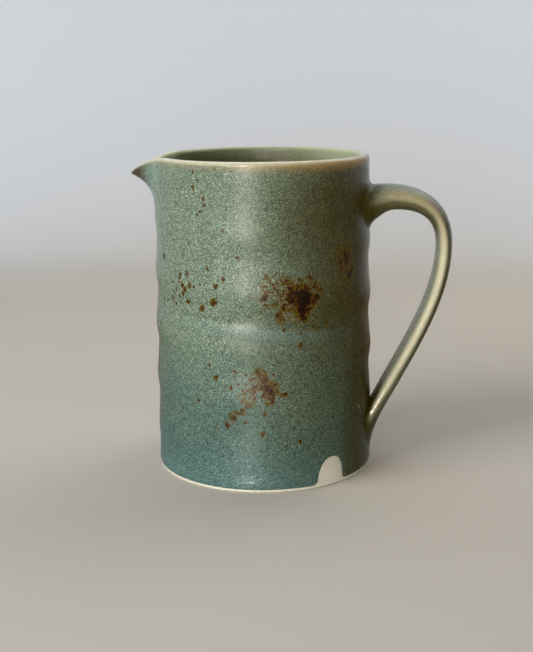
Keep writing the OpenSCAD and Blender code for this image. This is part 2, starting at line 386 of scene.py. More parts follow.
class PitcherHandle(bpy.types.PropertyGroup):
    """Sizes of the strap handle."""

    finger_gap: size("Finger gap", "Space between the wall and the widest part of the strap", 29.6)
    crown_thickness: size("Crown thickness", "Thickness of the strap where the crown starts", 11.5)
    strap_thickness: size("Strap thickness", "Thickness of the strap at its widest point", 6.3)
    lower_thickness: size("Lower thickness", "Thickness of the strap on the lower run", 6.6)
    top_width: size("Top width", "Width of the strap where it leaves the wall", 19)
    low_width: size("Low width", "Width of the strap at its lower bend", 16)
    upper_joint_drop: size("Upper joint drop", "How far below the rim the strap leaves the wall", 22.5)
    widest_drop: size("Widest drop", "How far below the rim the strap is widest", 40)
    lower_bend_height: size("Lower bend height", "Where the strap bends down along the wall", 38)
    lower_run_angle: turn("Lower run angle", "Slope of the straight lower run, from the level", 62)
    under_flare: size("Under flare", "Extra thickness on the underside at the upper joint", 6)
    joint_flare: size("Joint flare", "Extra width on each edge at both joints", 4.5)
    fillet: size("Fillet", "Round where the strap is smoothed on to the wall", 2.6)


class PitcherFinish(bpy.types.PropertyGroup):
    """Colours of the glaze, the rust and the clay."""

    celadon_dark: colour("Celadon shade", "Dark grain of the glaze", "#4B5A4B")
    celadon_pale: colour("Celadon crystal", "Pale grain of the glaze", "#AEC0A4")
    teal_dark: colour("Teal shade", "Dark grain where the glaze ran thick, near the foot", "#2C4039")
    teal_pale: colour("Teal crystal", "Pale grain where the glaze ran thick", "#779487")
    # Olive stands partly for thin glaze and partly for painted shade on the side towards the handle
    olive_dark: colour("Olive shade", "Dark grain where the glaze is thin, towards the handle", "#2A2202")
    olive_pale: colour("Olive crystal", "Pale grain where the glaze is thin", "#6B6117")
    # Blue-green for glaze gathered under the spout, and painted sheen on the ledge's lip and at the foot
    pool_and_sheen: colour("Pooled glaze", "Glaze gathered on the front ledge", "#93BDC2")
    liner_dark: colour("Liner shade", "Dark grain of the glaze inside", "#5C5C3E")
    liner_pale: colour("Liner crystal", "Pale grain of the glaze inside", "#868864")
    # Painted light on the liner towards the handle and near the rim; a paler liner in the spout
    liner_lit: colour("Liner celadon", "Paler glaze inside, towards the handle and the rim", "#C4CAA0")
    break_tan: colour("Breaking edge", "Glaze worn thin below the rim", "#AC8C58")
    break_brown: colour("Spout edge", "Glaze worn thin on the tip of the spout", "#4C432B")
    strap_dark: colour("Strap shade", "Dark grain of the glaze on the strap", "#777A68")
    strap_pale: colour("Strap crystal", "Pale grain of the glaze on the strap", "#AEB198")
    # Crown and crest colours: glaze worn thin on the strap's edges, partly painted highlight
    crown_khaki: colour("Crown", "Pale glaze over the crown of the strap", "#B3A171")
    crest_cream: colour("Crest", "Palest glaze, on the edges of the strap", "#DDD3AE")
    # The rim's pale crest: glaze worn thin, partly painted highlight
    rim_pale: colour("Rim", "Palest glaze, on the crest of the rim", "#F0E8C2")
    rust_gold: colour("Rust halo", "Edge of a rust bloom", "#5E4A06")
    rust_brown: colour("Rust", "Body of a rust bloom", "#3C1A00")
    rust_black: colour("Rust core", "Darkest part of a rust bloom", "#0E0200")
    clay: colour("Clay", "Bare fired clay", "#D8CDBA")
    clay_sand: colour("Clay sand", "Darker grains in the clay", "#B9AC96")
    floor: colour("Floor", "Plain floor", "#CCC4B7")
    floor_bounce: colour("Floor bounce", "What the floor throws back on to the pitcher", "#7A6348")
    backdrop: colour("Backdrop", "Plain backdrop", "#D3D8DE")


class PitcherStage(bpy.types.PropertyGroup):
    """Camera and lights."""

    camera_turn: turn("Camera turn", "Round from straight in front of the pitcher, towards the handle", 5)
    camera_rise: turn("Camera rise", "Height of the camera above the middle of the pitcher", 12.114)
    camera_distance: size("Camera distance", "From the middle of the pitcher", 515.94)
    camera_pan: turn("Camera pan", "Turn to the right of the middle of the pitcher", 0.145)
    camera_tilt: turn("Camera tilt", "Tilt down from the middle of the pitcher", 0.86)
    camera_roll: turn("Camera roll", "Lean of the camera", -0.601)
    view_angle: turn("View angle", "Angle of view over the long side of the frame", 32)
    window_power: power("Window", "Soft light from the left", 13.8)
    sky_power: power("Sky", "Soft light from above", 2)
    front_power: power("Front", "Soft light beside the camera", 7.5)
    strip_power: power("Strip", "Tall light beside the camera that shows in the gloss alone", 58)
    back_power: power("Back", "Soft light on the handle from behind", 2)
    room_light: share("Room light", "Even light from all sides", 0.08)
    room_gloss: share("Room gloss", "How much of the pale room shows in the gloss of the glaze", 0.22)


class PitcherSettings(bpy.types.PropertyGroup):
    """All the settings of the pitcher."""

    body: bpy.props.PointerProperty(type=PitcherBody, name="Body", description="The thrown body")
    handle: bpy.props.PointerProperty(type=PitcherHandle, name="Handle", description="The strap handle")
    finish: bpy.props.PointerProperty(type=PitcherFinish, name="Finish", description="The colours")
    stage: bpy.props.PointerProperty(type=PitcherStage, name="Stage", description="Camera and lights")


class Wire:
    """An output socket; sums and products of wires and numbers add Math nodes to its tree."""

    def __init__(self, graph, socket):
        self.graph = graph
        self.socket = socket

    def __add__(self, other):
        return self.graph.math("ADD", self, other)

    def __sub__(self, other):
        return self.graph.math("SUBTRACT", self, other)

    def __rsub__(self, other):
        return self.graph.math("SUBTRACT", other, self)

    def __mul__(self, other):
        return self.graph.math("MULTIPLY", self, other)

    def __truediv__(self, other):
        return self.graph.math("DIVIDE", self, other)

    def __rtruediv__(self, other):
        return self.graph.math("DIVIDE", other, self)

    def __pow__(self, other):
        return self.graph.math("POWER", self, other)

    def __abs__(self):
        return self.graph.math("ABSOLUTE", self)

    __radd__ = __add__
    __rmul__ = __mul__


def opaque(value):
    """A colour with a full alpha; a wire stays as it is."""
    return value if isinstance(value, Wire) else (*value, 1.0)


class Graph:
    """A node tree that is written as expressions."""

    def __init__(self, tree):
        self.tree = tree
        tree.nodes.clear()

    def node(self, kind, settings=None, sockets=None, out=0):
        """Adds a node: its settings first, then the values or links of its sockets; gives one output."""
        made = self.tree.nodes.new(kind)
        for key, value in (settings or {}).items():
            setattr(made, key, value)
        for key, value in (sockets or {}).items():
            if isinstance(value, Wire):
                self.tree.links.new(value.socket, made.inputs[key])
            else:
                made.inputs[key].default_value = value
        return Wire(self, made.outputs[out]) if len(made.outputs) else made

    def math(self, operation, *values):
        return self.node("ShaderNodeMath", {"operation": operation}, dict(enumerate(values)))

    def vector(self, operation, *values, out="Vector"):
        return self.node("ShaderNodeVectorMath", {"operation": operation}, dict(enumerate(values)), out)

    def scaled(self, vector, factor):
        return self.node("ShaderNodeVectorMath", {"operation": "SCALE"}, {"Vector": vector, "Scale": factor})

    def joined(self, x, y, z):
        return self.node("ShaderNodeCombineXYZ", None, {"X": x, "Y": y, "Z": z})

    def parts(self, vector):
        split = self.node("ShaderNodeSeparateXYZ", None, {"Vector": vector})
        return [Wire(self, socket) for socket in split.socket.node.outputs]

    def most(self, first, *others):
        """The largest of some values."""
        for other in others:
            first = self.math("MAXIMUM", first, other)
        return first

    def clamped(self, value):
        return self.node("ShaderNodeClamp", None, {"Value": value})

    def eased(self, value, low, high):
        """Rises smoothly from 0 at low to 1 at high."""
        sockets = {"Value": value, "From Min": low, "From Max": high}
        return self.node("ShaderNodeMapRange", {"interpolation_type": "SMOOTHSTEP"}, sockets)

    def blend(self, factor, first, second):
        """One colour turning into another, each a wire or a plain colour."""
        # The node's other sockets mix numbers, vectors and turns
        sockets = {0: factor, 6: opaque(first), 7: opaque(second)}
        return self.node("ShaderNodeMix", {"data_type": "RGBA"}, sockets, 2)

    def attribute(self, name):
        """A number that a rule stored on the piece."""
        return self.node("ShaderNodeAttribute", {"attribute_name": name}, None, "Fac")

    def noise(self, vector, scale, detail, roughness=0.5, out=0):
        sockets = {"Vector": vector, "Scale": scale, "Detail": detail, "Roughness": roughness}
        return self.node("ShaderNodeTexNoise", None, sockets, out)


class Rule(Graph):
    """A geometry node tree with named inputs."""

    KINDS = {int: "NodeSocketInt", float: "NodeSocketFloat", bpy.types.Material: "NodeSocketMaterial"}

    def __init__(self, name, values):
        super().__init__(bpy.data.node_groups.new(name, "GeometryNodeTree"))
        face = self.tree.interface
        face.new_socket("Geometry", in_out="INPUT", socket_type="NodeSocketGeometry")
        for label, value in values.items():
            face.new_socket(label, in_out="INPUT", socket_type=self.KINDS[type(value)])
        face.new_socket("Geometry", in_out="OUTPUT", socket_type="NodeSocketGeometry")
        self.values = values
        self.start = self.tree.nodes.new("NodeGroupInput")

    def __getitem__(self, label):
        return Wire(self, self.start.outputs[label])

    def row_value(self, row, attribute=None):
        """A point's place, or a number kept on it, in one row of the line that the rule starts from."""
        if attribute is None:
            field = self.node("GeometryNodeInputPosition")
        else:
            field = self.node("GeometryNodeInputNamedAttribute", {"data_type": "FLOAT"}, {"Name": attribute})
        kind = "FLOAT_VECTOR" if attribute is None else "FLOAT"
        sockets = {"Geometry": self["Geometry"], "Value": field, "Index": row + HALF_STEP}
        return self.node("GeometryNodeSampleIndex", {"data_type": kind}, sockets)

    def sheet(self, columns):
        """A sheet with a row for each point of the line: the sheet, and the row and column of each vertex."""
        rows = self.node("GeometryNodeAttributeDomainSize", None, {"Geometry": self["Geometry"]})
        sockets = {"Vertices X": columns + 1, "Vertices Y": rows}
        grid = self.node("GeometryNodeMeshGrid", None, sockets)
        index = self.node("GeometryNodeInputIndex")
        column = self.math("FLOOR", (index + HALF_STEP) / rows)
        return grid, index - column * rows, column

    def swell(self, z, angle):
        """How far the throwing rings, which climb round the wall, push it out."""
        turn_of_ring = (z - self["Ring Height"]) / self["Ring Pitch"] * FULL_TURN + angle - self["Ring Front"]
        wave = self.math("COSINE", turn_of_ring)
        second = SECOND_WAVE * self.math("COSINE", 2 * turn_of_ring + SECOND_WAVE_SHIFT)
        fine = FINE_WAVE * self.math("COSINE", FINE_WAVES * turn_of_ring)
        fade = self.math("SINE", self.clamped(z / self["Arc Height"]) * math.pi)
        return self["Ring Depth"] / 2 * (wave + second + fine) * fade

    def ledge(self, z, angle):
        """A groove over a lip on the front of one ring, where the thrower's finger pressed harder."""
        off_front = self.math("WRAP", angle - self["Ring Front"], math.pi, -math.pi)
        above = (z - self["Ring Height"]) + self["Ring Pitch"] * off_front / FULL_TURN - self["Ledge Rise"]
        lip = self.math("EXPONENT", -1 * (above / LIP_SPREAD + 1) ** 2)
        groove = self.math("EXPONENT", -1 * (above / GROOVE_SPREAD - 1) ** 2)
        return (lip - groove) * self.bell(abs(off_front) / LEDGE_SPAN)

    def bell(self, way):
        """Falls smoothly from 1 at 0 to 0 at 1."""
        return 0.5 + 0.5 * self.math("COSINE", self.clamped(way) * math.pi)

    def wall(self, z):
        """Radius of the wall over the glaze, without its rings."""
        return self["Foot Radius"] - self["Wall Lean"] * self.clamped(z / self["Arc Height"])

    def finish(self, sheet, place, attributes):
        """Moves the sheet to its place, closes its seams and gives it its numbers and its material."""
        moved = self.node("GeometryNodeSetPosition", None, {"Geometry": sheet, "Position": place})
        for label, value in attributes.items():
            sockets = {"Geometry": moved, "Name": label, "Value": value}
            moved = self.node("GeometryNodeStoreNamedAttribute", {"data_type": "FLOAT"}, sockets)
        closed = self.node("GeometryNodeMergeByDistance", None, {"Geometry": moved, "Distance": SEAM})
        smooth = self.node("GeometryNodeSetShadeSmooth", None, {"Geometry": closed})
        real = self.node("GeometryNodeRealizeInstances", None, {"Geometry": smooth})
        sockets = {"Geometry": real, "Material": self["Material"]}
        painted = self.node("GeometryNodeSetMaterial", None, sockets)
        self.node("NodeGroupOutput", None, {"Geometry": painted})
        return self

    def grow(self, name, rows):
        """The piece that the rule makes from a line of rows, as a plain mesh."""
        piece = bpy.data.objects.new(name, line_of(f"{name}_line", rows))
        modifier = piece.modifiers.new(self.tree.name, "NODES")
        modifier.node_group = self.tree
        for item in self.tree.interface.items_tree:
            if item.in_out == "INPUT" and item.name in self.values:
                modifier[item.identifier] = self.values[item.name]
        bpy.context.scene.collection.objects.link(piece)
        solid = piece.evaluated_get(bpy.context.evaluated_depsgraph_get())
        mesh = bpy.data.meshes.new_from_object(solid)
        piece.modifiers.clear()
        piece.data = mesh
        mesh.name = name
        return outward(piece)


def outward(piece):
    """Turns a closed piece's faces outwards, by the sign of its volume."""
    mesh = piece.data
    mesh.calc_loop_triangles()
    corners = [v.co for v in mesh.vertices]
    volume = 0
    for triangle in mesh.loop_triangles:
        a, b, c = (corners[i] for i in triangle.vertices)
        volume += a.dot(b.cross(c)) / 6
    if volume < 0:
        mesh.flip_normals()
    if not mesh.polygons:
        raise RuntimeError(f"{piece.name} has no faces")
    return piece


def line_of(name, rows):
    """A line through rows, each a place and numbers kept on it under their names."""
    mesh = bpy.data.meshes.new(name)
    places = [row["place"] for row in rows]
    mesh.from_pydata(places, [(i, i + 1) for i in range(len(places) - 1)], [])
    for label in rows[0]:
        if label != "place":
            kept = mesh.attributes.new(label, "FLOAT", "POINT")
            kept.data.foreach_set("value", [row[label] for row in rows])
    return mesh


def spaced(low, high, count):
    return [low + (high - low) * i / count for i in range(count + 1)]


def mixed(a, b, t):
    return a + (b - a) * t


def clamp(t):
    return max(0.0, min(1.0, t))


def ease(t):
    t = clamp(t)
    return t * t * (3 - 2 * t)


class Section:
    """The body's section in a plane through its axis, without its rings."""

    def __init__(self, body):
        self.body = body
        self.arc_height = RIM_HEIGHT - body.glaze_thickness - body.rim_wall / 2
        self.rim_centre = body.foot_radius - body.wall_lean - body.glaze_thickness - body.rim_wall / 2
        self.corner_top = FLOOR_TOP + body.corner_radius

    def outer(self, z):
        body = self.body
        return body.foot_radius - body.wall_lean * clamp(z / self.arc_height) - body.glaze_thickness

    def inner(self, z):
        body = self.body
        return self.outer(z) - mixed(body.foot_wall, body.rim_wall, clamp(z / self.arc_height))

    def outside(self, coat, start, end, count):
        """Points along the outer wall, from one height to another."""
        return [(self.outer(z) + coat, z) for z in spaced(start, end, count)]

    def inside(self, coat, start, end, count):
        """Points along the inner wall, from one height to another."""
        return [(self.inner(z) - coat, z) for z in spaced(start, end, count)]

    def rim(self, coat, start, end, count):
        """Points round the rim, from one angle above the level to another."""
        radius = self.body.rim_wall / 2 + coat
        turns = [math.radians(a) for a in spaced(start, end, count)]
        return [(self.rim_centre + radius * math.cos(a), self.arc_height + radius * math.sin(a))
                for a in turns]

    def corner(self, coat, count):
        """Points from the floor round the hollow corner to the wall."""
        radius = self.body.corner_radius
        centre = self.inner(self.corner_top) - radius
        turns = [math.radians(a) for a in spaced(-90, 0, count)]
        return [(centre + (radius - coat) * math.cos(a), self.corner_top + (radius - coat) * math.sin(a))
                for a in turns]

    def floor(self, coat, count):
        """Points from the axis out over the floor, short of the corner."""
        reach = self.inner(self.corner_top) - self.body.corner_radius
        return [(reach * i / count, FLOOR_TOP + coat) for i in range(count)]

    def hollow(self, coat, count):
        """Points from the axis out over the floor and up round the corner."""
        return self.floor(coat, count["floor"]) + self.corner(coat, count["corner"])


def row(point, outside=0.0, breaking=0.0, crest=0.0):
    return {"place": (point[0], 0, point[1]), "outside": outside, "breaking": breaking, "crest": crest}


def coat_rows(body):
    """Rows of the glaze coat: over the liner, the rim and the wall to its edge, and back along the clay."""
    section = Section(body)
    low, high = section.corner_top, section.arc_height
    coat = body.glaze_thickness
    edge = body.glaze_line
    wall_foot = edge + EDGE_ROUND
    count = COAT_ROWS
    rows = [row(p) for p in section.hollow(coat, count)]
    rows += [row(p) for p in section.inside(coat, low, high, count["inside"])[1:-1]]
    for i, point in enumerate(section.rim(coat, 180, 0, count["rim"])):
        over = i / count["rim"]
        # The rim's pale crest, partly painted highlight
        crest = 1 - ease(abs(over - CREST_PLACE) / CREST_SPREAD)
        worn = ease((over - BREAK_FROM) / RIM_TURN)
        rows.append(row(point, ease((over - OUTSIDE_FROM) / RIM_TURN), worn, crest))
    for radius, z in section.outside(coat, high, wall_foot, count["wall"])[1:]:
        roll = body.glaze_roll * math.exp(-((z - edge - ROLL_RISE) / ROLL_SPREAD) ** 2)
        worn = clamp(1 - (high - z) / BREAK_DROP) ** 2
        rows.append(row((radius + roll, z), 1.0, worn))
    for turned in spaced(math.pi / 2, 0, count["edge"])[1:]:
        lift = EDGE_ROUND * (1 - math.cos(turned))
        rows.append(row((section.outer(edge) + coat * math.sin(turned), edge + lift), 1.0))

    # Back along the clay, a little inside it
    under = -UNDERLAP
    count = UNDER_ROWS
    rows.append(row((section.outer(edge) + under, edge), 1.0))
    rows += [row(p, outside=1.0) for p in section.outside(under, wall_foot, high, count["wall"])]
    rows += [row(p) for p in section.rim(under, 0, 180, count["rim"])[1:]]
    rows += [row(p) for p in section.inside(under, high, low, count["inside"])[1:-1]]
    rows += [row(p) for p in reversed(section.hollow(under, count))]
    return rows


def clay_rows(body):
    """Rows of the clay body: the underside, the foot, the wall, the rim and the inside."""
    section = Section(body)
    low, high = section.corner_top, section.arc_height
    count = CLAY_ROWS
    bevel = body.foot_bevel
    foot = section.outer(0) - bevel
    rows = [row((foot * i / count["base"], 0)) for i in range(count["base"])]
    for a in spaced(-90, 0, count["bevel"]):
        turned = math.radians(a)
        rows.append(row((foot + bevel * math.cos(turned), bevel + bevel * math.sin(turned)), 1.0))
    low_wall = body.mark_height + body.corner_radius
    rows += [row(p, outside=1.0) for p in section.outside(0, bevel, low_wall, count["foot"])[1:]]
    rows += [row(p, outside=1.0) for p in section.outside(0, low_wall, high, count["wall"])[1:-1]]
    rows += [row(p) for p in section.rim(0, 0, 180, count["rim"])]
    rows += [row(p) for p in section.inside(0, high, low, count["inside"])[1:-1]]
    rows += [row(p) for p in reversed(section.hollow(0, count))]
    return rows


def inputs(group, *keys):
    """Some of a group's settings as inputs of a rule, each under its name in title case."""
    return {key.replace("_", " ").title(): getattr(group, key) for key in keys}


def wall_inputs(body):
    """The inputs that a rule needs to know where the ringed wall lies."""
    keys = ("foot_radius", "wall_lean", "ring_pitch", "ring_height", "ring_depth", "ring_front")
    return {**inputs(body, *keys), "Arc Height": Section(body).arc_height}


def thrown_rule(body, material, mark_height, columns):
    """The rule of the thrown body: a section turned round the axis, ringed, pulled to a spout and marked."""
    rule = Rule("Thrown body", {
        "Mark Columns": columns[0], "Wall Columns": columns[1], "Material": material,
        "Rim Height": RIM_HEIGHT, "Mark Height": mark_height, **wall_inputs(body),
        **inputs(body, "ledge_rise", "ledge_depth", "glaze_line", "mark_angle", "mark_width"),
        **inputs(body, "spout_reach", "spout_dip", "spout_depth", "spout_half_angle"),
    })
    sheet, row_index, column = rule.sheet(rule["Mark Columns"] + rule["Wall Columns"])
    radius, _, z = rule.parts(rule.row_value(row_index))
    outside = rule.row_value(row_index, "outside")

    # Columns lie closer together across the finger mark
    in_mark = rule.clamped(column / rule["Mark Columns"]) * (2 * MARK_SPAN)
    past_mark = rule.clamped((column - rule["Mark Columns"]) / rule["Wall Columns"])
    past_mark = past_mark * (FULL_TURN - 2 * MARK_SPAN)
    off_mark = in_mark + past_mark - MARK_SPAN
    angle = off_mark + rule["Mark Angle"]

    # The glaze stops at an arch where a finger held the pot
    side = off_mark * rule["Foot Radius"] / (rule["Mark Width"] / 2)
    across = abs(side)
    bend = MARK_POWER + MARK_SKEW * rule.math("SIGN", side)
    arch = (1 - rule.clamped(across) ** bend) ** (1 / bend)
    flare = rule.clamped(1 - (across - 1) / MARK_FLARE_SHARE) ** 2 * (MARK_FLARE / body.mark_height)
    lift = rule["Mark Height"] * rule.most(arch * (1 - body.glaze_line / body.mark_height), flare)
    fade = rule.clamped((MARK_FADE - z) / (MARK_FADE - rule["Glaze Line"]))
    z = z + lift * fade * outside

    on_wall = rule.eased(radius, WALL_FROM * body.foot_radius, WALL_TO * body.foot_radius)
    ledge = rule.ledge(z, angle) * outside * on_wall
    radius = radius + rule.swell(z, angle) * on_wall + rule["Ledge Depth"] * ledge

    off_spout = abs(rule.math("WRAP", angle - math.pi, math.pi, -math.pi)) / rule["Spout Half Angle"]
    bell = rule.bell(off_spout)
    throat = rule["Rim Height"] - rule["Spout Depth"]
    pull = rule.clamped((z - throat) / (rule["Spout Depth"] - SPOUT_LIP)) ** THROAT_POWER
    radius = radius + rule["Spout Reach"] * bell * pull
    z = z - rule["Spout Dip"] * bell ** DIP_POWER * pull

    place = rule.joined(radius * rule.math("COSINE", angle), radius * rule.math("SINE", angle), z)
    return rule.finish(sheet, place, {
        "breaking": rule.row_value(row_index, "breaking"),
        "crest": rule.row_value(row_index, "crest"),
        "spout": bell * pull,
        "inside": 1 - outside,
        "ledge": ledge,
    })


class Strap:
    """The strap's middle line in the XZ plane, over the crown, down the back and along the wall."""

    def __init__(self, body, handle):
        self.handle = handle
        self.glaze = body.glaze_thickness
        self.section = Section(body)
        outer = self.section.outer
        start_height = RIM_HEIGHT - handle.upper_joint_drop
        widest_height = RIM_HEIGHT - handle.widest_drop
        start = Vector((outer(start_height) - JOINT_SINK, start_height))
        clear = body.glaze_thickness + handle.finger_gap + handle.strap_thickness / 2
        widest = Vector((outer(widest_height) + clear, widest_height))
        bend = Vector((outer(handle.lower_bend_height) + BEND_STANDOFF, handle.lower_bend_height))
        tail = Vector((outer(TAIL_HEIGHT) - TAIL_SINK, TAIL_HEIGHT))
        run = -Vector((math.cos(handle.lower_run_angle), math.sin(handle.lower_run_angle)))
        crown = Vector(((widest.x - start.x) / 2, CROWN_LIFT))
        up = Vector((0, 1))
        self.curves = [
            (start, start + crown, widest + SHOULDER_REACH * up, widest),
            (widest, widest - HIP_REACH * up, bend - LOWER_RUN_REACH * run, bend),
            (bend, bend + BEND_REACH * run, tail + TAIL_REACH * up, tail),
        ]
        low = handle.lower_thickness
        self.stops = [handle.crown_thickness, handle.strap_thickness, low, low * TAIL_SHARE]

    def point(self, curve, t):
        a, b, c, d = self.curves[curve]
        s = 1 - t
        return s * s * s * a + 3 * s * s * t * b + 3 * s * t * t * c + t * t * t * d

    def way(self, curve, t):
        a, b, c, d = self.curves[curve]
        s = 1 - t
        return (s * s * (b - a) + 2 * s * t * (c - b) + t * t * (d - c)).normalized()

    def off_wall(self, point):
        """How far a point of the line stands out from the clay wall."""
        return point.x - self.section.outer(point.y)

    def share_at(self, distance):
        """The share of the first curve at which the line has come this far out of the wall."""
        low, high = 0.0, 1.0
        for _ in range(HALVINGS):
            middle = (low + high) / 2
            if self.off_wall(self.point(0, middle)) < distance:
                low = middle
            else:
                high = middle
        return low

    def row(self, curve, t, coat):
        """One row of the strap, at a share t of one of its curves, grown by the coat on every side."""
        point = self.point(curve, t)
        off_wall = self.off_wall(point)
        flare = (1 - clamp(off_wall / FLARE_LENGTH)) ** 2 if curve == 0 else 0
        level = 1 - ease(off_wall / UPRIGHT_LENGTH) if curve == 0 else 0
        way = self.way(curve, t).lerp(Vector((1, 0)), level).normalized()
        across = Vector((-way.y, way.x))
        swell = self.handle.under_flare / 2 * flare
        middle = point - swell * across
        fan = ease(t) if curve == 2 else flare
        handle = self.handle
        width = mixed(handle.top_width, handle.low_width, clamp((curve + t) / 2))
        thickness = mixed(self.stops[curve], self.stops[curve + 1], ease(t))
        return {
            "place": (middle.x, 0, middle.y),
            "across_x": across.x,
            "across_z": across.y,
            "half_thickness": thickness / 2 + swell + coat,
            "half_width": width / 2 + handle.joint_flare * fan + coat,
            "wrap": 1 - ease(off_wall / WRAP_LENGTH),
        }

    def rows(self, coat, dense, plain):
        """Rows along the whole strap, closer together in the fillet and towards the lower joint."""
        arc = [math.sin(math.radians(a)) for a in spaced(90, 0, dense)]
        distances = [self.glaze + self.handle.fillet * (1 - near) for near in arc]
        start = [self.share_at(distance) for distance in [-ROOT_SINK, *distances]]
        first = [(0, t) for t in start + spaced(start[-1], 1, plain)[1:]]
        middle = [(1, t) for t in spaced(0, 1, plain)[1:]]
        last = [(2, t) for t in spaced(0, 1, dense)[1:]]
        return [self.row(curve, t, coat) for curve, t in first + middle + last]


def pinched(strap_row):
    """The same row drawn in to a point, to close an end."""
    return {**strap_row, "half_thickness": 0.0, "half_width": 0.0}


def strap_rule(body, material, fillet):
    """The rule of the strap: a rounded oblong swept along its line and smoothed on to the wall."""
    rule = Rule("Pulled strap", {
        "Sides": STRAP_SIDES, "Material": material, "Fillet": fillet,
        **wall_inputs(body), **inputs(body, "glaze_thickness"),
    })
    sheet, row_index, column = rule.sheet(rule["Sides"])
    line_x, _, line_z = rule.parts(rule.row_value(row_index))
    across_x, across_z, half_thickness, half_width, wrap = (
        rule.row_value(row_index, label)
        for label in ("across_x", "across_z", "half_thickness", "half_width", "wrap"))

    def rounded(value, exponent):
        return rule.math("SIGN", value) * abs(value) ** exponent

    turned = (column + HALF_STEP) / rule["Sides"] * FULL_TURN
    along_face = rule.math("COSINE", turned)
    along_edge = rule.math("SINE", turned)
    bulge = half_thickness * rounded(along_face, 2 / STRAP_POWER)
    y = half_width * rounded(along_edge, 2 / STRAP_POWER)
    wall = rule.wall(line_z) - rule["Glaze Thickness"]
    x = line_x + across_x * bulge - wrap * (wall - rule.math("SQRT", wall * wall - y * y))
    z = line_z + across_z * bulge

    # The outward direction of the oblong, and its part along the wall
    face_normal = rounded(along_face, 2 - 2 / STRAP_POWER) / half_thickness
    edge_normal = rounded(along_edge, 2 - 2 / STRAP_POWER) / half_width
    length = rule.math("SQRT", face_normal * face_normal + edge_normal * edge_normal)
    face_normal = face_normal / length
    edge_normal = edge_normal / length
    normal = rule.joined(face_normal * across_x, edge_normal, face_normal * across_z)
    reach = rule.math("SQRT", x * x + y * y)
    radial = rule.joined(x / reach, y / reach, 0.0)
    into_wall = rule.vector("DOT_PRODUCT", normal, radial, out="Value")
    along_wall = rule.vector("SUBTRACT", normal, rule.scaled(radial, into_wall))

    # The clay is smoothed out into a fillet where it nears the wall
    off_wall = reach - rule.wall(z) - rule.swell(z, rule.math("ARCTAN2", y, x))
    near = 1 - rule.clamped(off_wall / rule["Fillet"])
    spread = rule["Fillet"] * (1 - rule.math("SQRT", 1 - near * near))
    place = rule.vector("ADD", rule.joined(x, y, z), rule.scaled(along_wall, spread))
    return rule.finish(sheet, place, strap_numbers(rule, z, off_wall, face_normal, edge_normal, across_z))


def strap_numbers(rule, z, off_wall, face_normal, edge_normal, across_z):
    """Strap glaze numbers: pale crests, partly painted highlight, its start at the wall, and painted shade.
    """
    # Painted shade on the strap's outward faces low down and on its underside under the crown
    low = 1 - rule.eased(z, *LOW_RUN)
    outer_face = rule.eased(face_normal + LOW_RUN_SHADE * low, *OUTER_FACE) * (1 - rule.eased(z, *CROWN_TURN))
    under_face = rule.eased((UNDER_TURN - face_normal) * across_z, *UNDER_FACE)
    drained = rule.most(outer_face, under_face)
    crest_end = rule.eased(z, *HIGH_RUN) * CREST_END_RISE + CREST_END_LOW
    # Pale edges of the strap: glaze worn thin, partly painted highlight
    crest = rule.eased(abs(edge_normal), *PALE_EDGE) * rule.eased(off_wall, CREST_START, crest_end)
    crest = crest * (1 - CROWN_FADE * rule.eased(z, *CROWN_TOP)) * (1 - CREST_SHADE_FADE * drained)
    return {"crest": crest, "strap": rule.eased(off_wall, *STRAP_START), "drained": drained}


def material_graph(name):
    """A new material and the graph of its nodes."""
    material = bpy.data.materials.new(name)
    material.use_nodes = True
    return material, Graph(material.node_tree)


def surfaced(graph, sockets):
    """Ends a material in one Principled surface."""
    surface = graph.node("ShaderNodeBsdfPrincipled", None, sockets)
    graph.node("ShaderNodeOutputMaterial", None, {"Surface": surface})


def millimetres(graph):
    """Object coordinates in millimetres."""
    place = graph.node("ShaderNodeTexCoord", None, None, "Object")
    return graph.scaled(place, 1 / MM)


def marks_field(graph, place, marks, body):
    """How deep inside the nearest of some upright marks a place lies: 1 at a middle, 0 at an edge."""
    place = graph.vector("MULTIPLY", place, (1.0, 1.0, MARK_UPRIGHT))
    depths = []
    for degrees, height, spread in marks:
        a = math.radians(degrees)
        radius = body.foot_radius / MM - body.wall_lean * height / RIM_HEIGHT
        centre = (radius * math.cos(a), radius * math.sin(a), height * MARK_UPRIGHT)
        distance = graph.vector("DISTANCE", place, centre, out="Value")
        depths.append(graph.math("MULTIPLY_ADD", distance, -1 / spread, 1.0))
    return graph.most(*depths, 0.0)


def frayed(graph, place, scale, detail, reach):
    """A place moved about by noise, so that round marks fray."""
    drift = graph.noise(place, scale, detail, out="Color")
    drift = graph.vector("SUBTRACT", drift, (NOISE_MIDDLE, NOISE_MIDDLE, NOISE_MIDDLE))
    return graph.vector("ADD", place, graph.scaled(drift, reach))


def glaze_fields(graph):
    """What the glaze depends on: places in millimetres, grain, and numbers stored on the pieces."""
    place = millimetres(graph)
    towards_handle, _, height = graph.parts(place)
    return SimpleNamespace(
        place=place, towards_handle=towards_handle, height=height,
        grain=graph.eased(graph.noise(place, *GRAIN), *GRAIN_SPAN),
        flecks=graph.noise(place, *FLECKS),
        **{name: graph.attribute(name) for name in GLAZE_NUMBERS})


